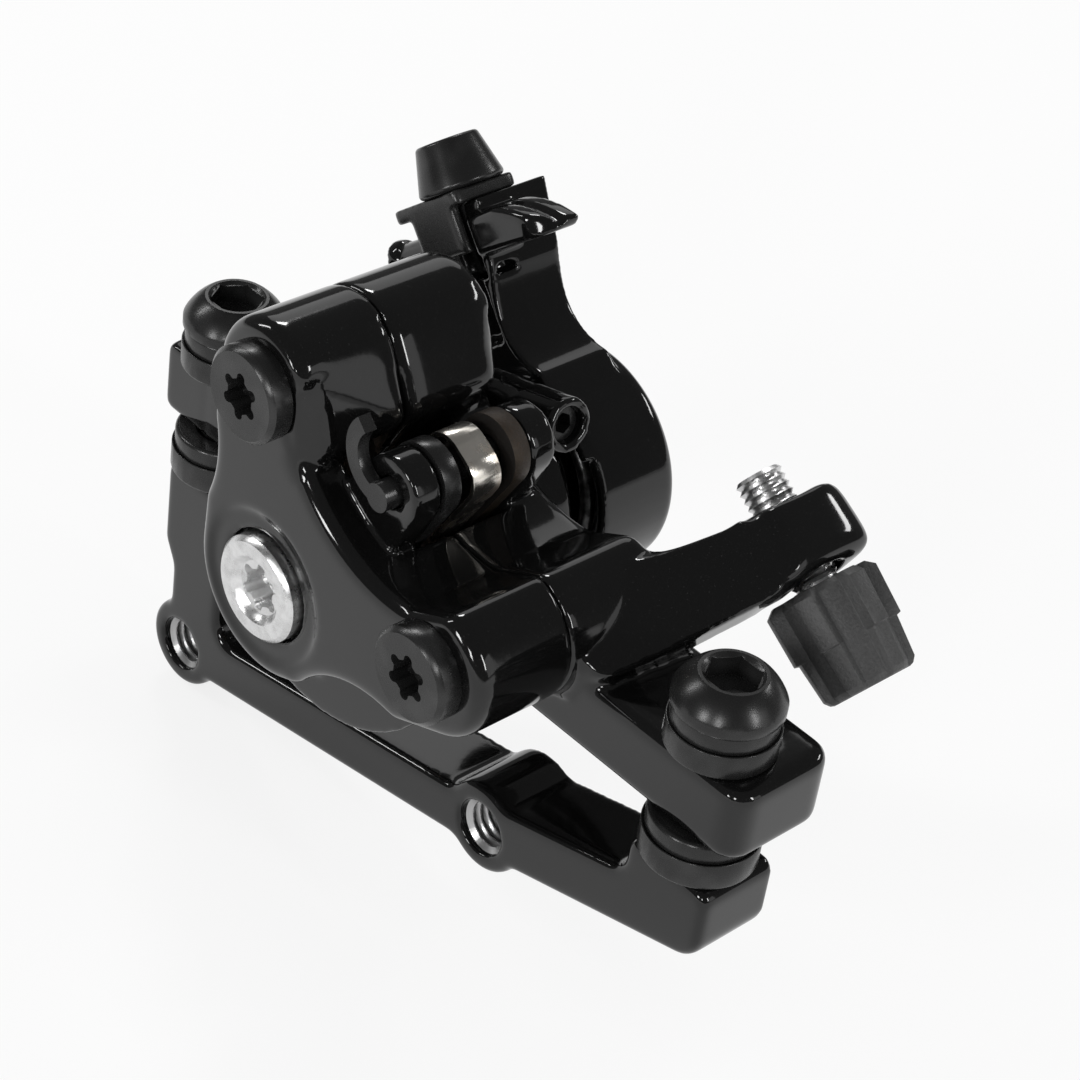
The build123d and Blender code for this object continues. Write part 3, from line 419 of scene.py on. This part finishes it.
# Caliper frame: turned on the bracket's posts, x along its two lobes and z up through the stop arm
caliper = {"place": (3.84, 0.0, 28.15), "turn": 30}
caliperPlace = Matrix.Translation(Vector(caliper["place"]) * mm)
caliperPlace = caliperPlace @ Matrix.Rotation(math.radians(caliper["turn"]), 4, "Y")
caliperBack = caliperPlace.inverted()


def link(name, data):
    piece = bpy.data.objects.new(name, data)
    bpy.context.scene.collection.objects.link(piece)
    return piece


def meshOf(shape, name):
    mesh = bpy.data.meshes.new(name)
    shape.to_mesh(mesh)
    return mesh


def smoothFaces(shape):
    for face in shape.faces:
        face.smooth = True


def keep(shape, name, material, body, *stoodFor):
    piece = link(name, meshOf(shape, name))
    shape.free()
    piece.data.materials.clear()
    piece.data.materials.append(material)
    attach(piece, body)
    if stoodFor:
        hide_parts(*stoodFor)
    return piece


def soften(shape, verts, passes):
    for turn in range(passes):
        bmesh.ops.smooth_vert(
            shape, verts=verts, factor=0.5, use_axis_x=True, use_axis_y=True, use_axis_z=True,
        )


def between(value, limits):
    return limits[0] < value < limits[1]


# The frame holes' walls, up to their reach from the axis, open from the thread's core to its crest
frameHoles = {
    "spacing": 51.0, "tilt": 11.0, "core": 2.5, "crest": 3.1, "reach": 2.9,
    "pitch": 1.0, "depth": 9.4, "crestShares": (0.42, 0.58), "steps": 40,
}


def holePlaces(look):
    tilt = math.radians(look["tilt"])
    half = look["spacing"] / 2
    return [(side * half * math.cos(tilt), side * half * math.sin(tilt)) for side in (-1, 1)]


def openFrameHoles(shape, look):
    for x, z in holePlaces(look):
        for vert in shape.verts:
            arm = Vector((vert.co.x - x * mm, 0, vert.co.z - z * mm))
            if 0 < arm.length < look["reach"] * mm:
                vert.co += arm * (look["crest"] * mm / arm.length - 1)


# Shallow panel in the lever arm's face, out along the arm and across it
armPanel = {
    "face": 10.8, "near": 0.3, "deep": 1.8, "out": (14.4, 26.6), "across": (-0.2, 5.7), "turn": 159.7,
}


def sinkPanel(shape, look):
    turn = math.radians(look["turn"])
    for vert in shape.verts:
        spot = caliperBack @ vert.co / mm
        out = spot.x * math.cos(turn) + spot.z * math.sin(turn)
        across = spot.x * math.sin(turn) - spot.z * math.cos(turn)
        inside = between(out, look["out"]) and between(across, look["across"])
        if inside and abs(spot.y - look["face"]) < look["near"]:
            vert.co.y += look["deep"] * mm


# Flank from the left lobe down to the window: crest lines across it, and the rows that use them
shoulder = {
    "lobe": (-13.3, 18.0), "clear": 6.4, "x": (-13.6, -4.0), "above": 14.0, "passes": 44, "foot": 15.0,
    "crests": {
        "full": ((-13.3, 24.9), (-11.4, 24.65), (-9.5, 23.75), (-4.45, 20.2)),
        "front": ((-13.3, 24.8), (-11.4, 24.5), (-9.6, 23.4), (-4.45, 18.4)),
        "slim": ((-13.3, 23.0), (-12.2, 22.8), (-10.9, 21.9), (-6.5, 17.4)),
        "rounded": ((-13.3, 23.4), (-11.8, 23.2), (-10.2, 22.6), (-5.6, 19.0)),
    },
    "rows": {
        "inboard_body": ((-22.7, "slim"), (-20.4, "front"), (-11.35, "full")),
        "outboard_body": ((-11.25, "full"), (-0.1, "full"), (1.3, "rounded")),
    },
}


def flankRing(shape, depth, crest, foot):
    points = list(crest) + [(crest[-1][0], foot), (crest[0][0], foot)]
    return [shape.verts.new(caliperPlace @ Vector((x * mm, depth * mm, z * mm))) for x, z in points]


def addFlank(shape, rows, look):
    rings = [flankRing(shape, depth, look["crests"][name], look["foot"]) for depth, name in rows]
    faces = [shape.faces.new(rings[0]), shape.faces.new(rings[-1])]
    for near, far in zip(rings, rings[1:]):
        for spot in range(len(near)):
            after = (spot + 1) % len(near)
            faces.append(shape.faces.new((near[spot], near[after], far[after], far[spot])))
    bmesh.ops.recalc_face_normals(shape, faces=faces)


def easeShoulder(shape, look):
    lobe = Vector((look["lobe"][0], 0, look["lobe"][1]))
    near = []
    for vert in shape.verts:
        spot = caliperBack @ vert.co / mm
        clear = (Vector((spot.x, 0, spot.z)) - lobe).length > look["clear"]
        if between(spot.x, look["x"]) and spot.z > look["above"] and clear:
            near.append(vert)
    soften(shape, near, look["passes"])


# The stop arm's side that faces the wheel leans back towards its crest, with one long soft edge
stopArm = {
    "from": 7.5, "beyond": 14.0, "slice": 0.8, "least": 0.1, "facing": 0.3, "flat": 0.2, "crown": 2.6,
    "passes": 45,
}


def crownStopArm(shape, look):
    level = caliperPlace.to_3x3()
    levelBack = caliperBack.to_3x3()
    shape.normal_update()
    arm = [(vert, caliperBack @ vert.co / mm) for vert in shape.verts]
    arm = [(vert, spot) for vert, spot in arm if spot.y > look["from"] and spot.x > look["beyond"]]
    bands = {}
    for vert, spot in arm:
        bands.setdefault(int(spot.y / look["slice"]), []).append(spot.z)
    for vert, spot in arm:
        band = bands[int(spot.y / look["slice"])]
        share = (spot.z - min(band)) / max(max(band) - min(band), look["least"])
        way = levelBack @ vert.normal
        if way.y < -look["facing"] and share > look["flat"]:
            lean = ((share - look["flat"]) / (1 - look["flat"])) ** 2 * look["crown"] * mm
            vert.co -= level @ Vector((way.x, way.y, 0)).normalized() * lean
    soften(shape, [vert for vert, spot in arm], look["passes"])


# Cast bodies: the CAD solid as one skin, with the soft edges of a die casting under thick paint
castings = {
    "outboard_body": {"body": "caliper", "grain": 0.33, "passes": 7},
    "inboard_body": {"body": "caliper", "grain": 0.26, "passes": 9},
    "lever_arm": {"body": "lever", "grain": 0.24, "passes": 7},
    "adapter_bracket": {"body": "bracket", "grain": 0.26, "passes": 9},
    "clamp_plate": {"body": "lever", "grain": 0.16, "passes": 16},
}


def regrain(shape, name, grain):
    solid = link(name, meshOf(shape, name))
    remesh = solid.modifiers.new("grain", "REMESH")
    remesh.mode = "VOXEL"
    remesh.voxel_size = grain * mm
    evaluated = solid.evaluated_get(bpy.context.evaluated_depsgraph_get())
    fine = bpy.data.meshes.new_from_object(evaluated)
    bpy.data.objects.remove(solid)
    shape.clear()
    shape.from_mesh(fine)


def castSkin(name, look):
    shape = bmesh.new()
    shape.from_mesh(nodes[name].data)
    bmesh.ops.remove_doubles(shape, verts=shape.verts, dist=0.001 * mm)
    if name == "adapter_bracket":
        openFrameHoles(shape, frameHoles)
    if name in shoulder["rows"]:
        addFlank(shape, shoulder["rows"][name], shoulder)
    regrain(shape, name + "Cast", look["grain"])
    if name == "lever_arm":
        sinkPanel(shape, armPanel)
    soften(shape, shape.verts, look["passes"])
    if name in shoulder["rows"]:
        easeShoulder(shape, shoulder)
    if name == "outboard_body":
        crownStopArm(shape, stopArm)
    smoothFaces(shape)
    return keep(shape, name + "Skin", wears[name], look["body"], name)


for name, look in castings.items():
    skin = castSkin(name, look)
    print(skin.name, "has", len(skin.data.polygons), "faces")


# Threads of the two frame holes, cut in bare metal
def frameThreads(look):
    shape = bmesh.new()
    core, crest, pitch = (look[name] * mm for name in ("core", "crest", "pitch"))
    low, high = look["crestShares"]
    profile = ((crest, 0), (core, pitch * low), (core, pitch * high), (crest, pitch))
    turns = int(look["depth"] / look["pitch"]) - 1
    start = -look["depth"] * mm + pitch / 2
    for x, z in holePlaces(look):
        tooth = [shape.verts.new((x * mm + out, start + up, z * mm)) for out, up in profile]
        edges = [shape.edges.new(pair) for pair in zip(tooth, tooth[1:] + tooth[:1])]
        bmesh.ops.spin(
            shape, geom=tooth + edges, cent=(x * mm, 0, z * mm), axis=(0, 1, 0),
            dvec=(0, pitch / look["steps"], 0), angle=math.radians(360 * turns),
            steps=look["steps"] * turns, use_merge=False,
        )
    bmesh.ops.holes_fill(shape, edges=[edge for edge in shape.edges if edge.is_boundary], sides=4)
    bmesh.ops.recalc_face_normals(shape, faces=shape.faces)
    return keep(shape, "frameHoleThreads", bareSteel, "bracket")


frameThreads(frameHoles)

# Knob of the barrel: full-length ribs, proud over the half nearer the arm, and a sunk end.
# Each ring has its height above the knob's start, its radius in the valleys and on the ribs.
knobShape = {
    "place": (16.5, 14.3, 28.95), "turn": 95.6, "start": 12.32, "segments": 72, "ribs": 6,
    "ribHalf": 12.6, "sharp": 24, "edge": 0.14, "edgeSegments": 2,
    "rings": (
        (0.0, 4.2, 5.1), (0.75, 4.7, 6.0), (6.0, 4.5, 5.85), (6.12, 4.49, 5.38), (10.35, 4.3, 5.0),
        (10.9, 4.0, 4.55), (11.05, 3.75, 4.15), (11.05, 3.25, 3.25), (10.8, 3.0, 3.0),
        (8.25, 2.95, 2.95), (8.2, 3.7, 3.7), (0.0, 3.7, 3.7),
    ),
}


def stackRings(shape, segments, count):
    ring = bmesh.ops.create_circle(shape, segments=segments, radius=1.0)["verts"]
    loops = [list(shape.edges)]
    for number in range(count - 1):
        made = bmesh.ops.extrude_edge_only(shape, edges=loops[-1])["geom"]
        edges = [item for item in made if isinstance(item, bmesh.types.BMEdge)]
        loops.append([edge for edge in edges if all(vert not in ring for vert in edge.verts)])
        ring = [item for item in made if isinstance(item, bmesh.types.BMVert)]
    return loops


def knobSkin(look):
    shape = bmesh.new()
    loops = stackRings(shape, look["segments"], len(look["rings"]))
    step = 360 / look["ribs"]
    for (height, valley, rib), edges in zip(look["rings"], loops):
        for vert in {vert for edge in edges for vert in edge.verts}:
            turn = math.degrees(math.atan2(vert.co.y, vert.co.x)) % step
            radius = rib if min(turn, step - turn) < look["ribHalf"] else valley
            way = Vector((vert.co.x, vert.co.y, 0)).normalized()
            vert.co = way * radius * mm + Vector((0, 0, (look["start"] + height) * mm))
    bmesh.ops.bridge_loops(shape, edges=loops[0] + loops[-1])
    bmesh.ops.recalc_face_normals(shape, faces=shape.faces)
    inner = [edge for edge in shape.edges if len(edge.link_faces) == 2]
    bmesh.ops.bevel(
        shape, geom=[edge for edge in inner if edge.calc_face_angle() > math.radians(look["sharp"])],
        affect="EDGES", offset=look["edge"] * mm, segments=look["edgeSegments"], profile=0.5,
        material=-1, clamp_overlap=True,
    )
    smoothFaces(shape)
    lean = Matrix.Rotation(math.radians(look["turn"]), 4, "Y")
    place = caliperPlace @ Matrix.Translation(Vector(look["place"]) * mm) @ lean
    bmesh.ops.transform(shape, matrix=place, verts=shape.verts)
    return keep(shape, "knobSkin", knobPlastic, "knob", "adjuster_knob")


knobSkin(knobShape)
print("cast skins, threads and knob made")

# Camera, solved on the photograph: place in metres, angles in degrees, lens in millimetres
photoCamera = {
    "place": (0.17745, -0.1734, 0.20695), "azimuth": 42.478, "elevation": 36.341, "roll": 8.782,
    "lens": 97.906, "sensor": 36, "nearest": 0.01,
}


def makeCamera(look):
    azimuth, elevation, roll = (math.radians(look[name]) for name in ("azimuth", "elevation", "roll"))
    level = Vector((math.cos(azimuth), math.sin(azimuth), 0))
    ahead = Vector((math.sin(azimuth), -math.cos(azimuth), 0)) * math.cos(elevation)
    back = ahead + Vector((0, 0, math.sin(elevation)))
    upright = back.cross(level)
    right = level * math.cos(roll) + upright * math.sin(roll)
    up = upright * math.cos(roll) - level * math.sin(roll)
    data = bpy.data.cameras.new("photoCamera")
    data.lens = look["lens"]
    data.sensor_width = look["sensor"]
    data.clip_start = look["nearest"]
    camera = link("photoCamera", data)
    turn = Matrix((right, up, back)).transposed().to_4x4()
    camera.matrix_world = Matrix.Translation(look["place"]) @ turn
    bpy.context.scene.camera = camera


makeCamera(photoCamera)

# Pale floor under the lowest piece, in metres, and how much of its own white each kind of ray sees
floorLook = {
    "size": 3.0, "drop": 0.0004, "colour": 0.86, "seen": 0.8, "mirrored": 0.25, "most": 0.9,
}


def makeFloor(look):
    shape = bmesh.new()
    bmesh.ops.create_grid(shape, x_segments=1, y_segments=1, size=look["size"])
    bmesh.ops.translate(shape, verts=shape.verts, vec=(0, 0, cadBox[0].z - look["drop"]))
    floor = link("paleFloor", meshOf(shape, "paleFloor"))
    shape.free()
    material = bpy.data.materials.new("paleFloor")
    tree = emptyTree(material)
    seen, glossy, through = lightRays(tree)
    share = seen * look["seen"] + (glossy + through) * look["mirrored"]
    matte = addNode(tree, "BsdfDiffuse", {}, {"Color": grey(look["colour"])})
    white = addNode(tree, "Emission", {}, {"Color": grey(1.0), "Strength": 1.0})
    mixed = [share.combine("MINIMUM", share, look["most"]), matte, white]
    addNode(tree, "OutputMaterial", {}, {"Surface": addNode(tree, "MixShader", {}, mixed)})
    floor.data.materials.append(material)


makeFloor(floorLook)

# Soft boxes, all aimed at the middle of the part: place, width and height in metres, power in watts
softBoxes = {
    "topBox": {"place": (-0.5, 0.36, 0.62), "size": (0.16, 0.08), "power": 1.0},
    "rightStrip": {"place": (0.75, 0.1, 0.35), "size": (0.07, 0.3), "power": 1.4},
    "leftStrip": {"place": (-0.6, -0.35, 0.45), "size": (0.06, 0.34), "power": 1.2},
    "frontBox": {"place": (0.02, -0.9, 0.36), "size": (0.16, 0.2), "power": 2.2},
    "sideBox": {"place": (0.45, -0.75, 0.36), "size": (0.12, 0.22), "power": 1.8},
    "backBox": {"place": (0.25, 0.8, 0.5), "size": (0.3, 0.1), "power": 1.2},
    "ceilingGlow": {"place": (-0.6, 0.55, 0.5), "size": (0.55, 0.35), "power": 0.55},
    "wallGlow": {"place": (0.85, 0.35, 0.25), "size": (0.35, 0.4), "power": 0.4},
}
middle = (cadBox[0] + cadBox[1]) / 2


def makeSoftBox(name, look):
    data = bpy.data.lights.new(name, "AREA")
    data.shape = "RECTANGLE"
    data.size, data.size_y = look["size"]
    data.energy = look["power"]
    lamp = link(name, data)
    lamp.location = Vector(look["place"])
    lamp.rotation_euler = (middle - lamp.location).to_track_quat("-Z", "Y").to_euler()


for name, look in softBoxes.items():
    makeSoftBox(name, look)

# World: white where the camera sees it, dim in reflections, soft grey light elsewhere
roomLight = {"level": 0.5, "gloss": 0.12}


def makeRoom(look):
    world = bpy.data.worlds.new("softRoom")
    bpy.context.scene.world = world
    tree = emptyTree(world)
    seen, glossy, through = lightRays(tree)
    strength = look["level"] + seen * (1 - look["level"])
    strength = strength + (glossy + through) * (look["gloss"] - look["level"])
    surface = addNode(tree, "Background", {}, {"Color": grey(1.0), "Strength": strength})
    addNode(tree, "OutputWorld", {}, {"Surface": surface})


makeRoom(roomLight)
bpy.context.scene.view_settings.view_transform = "Standard"
print("camera, floor and lamps set")
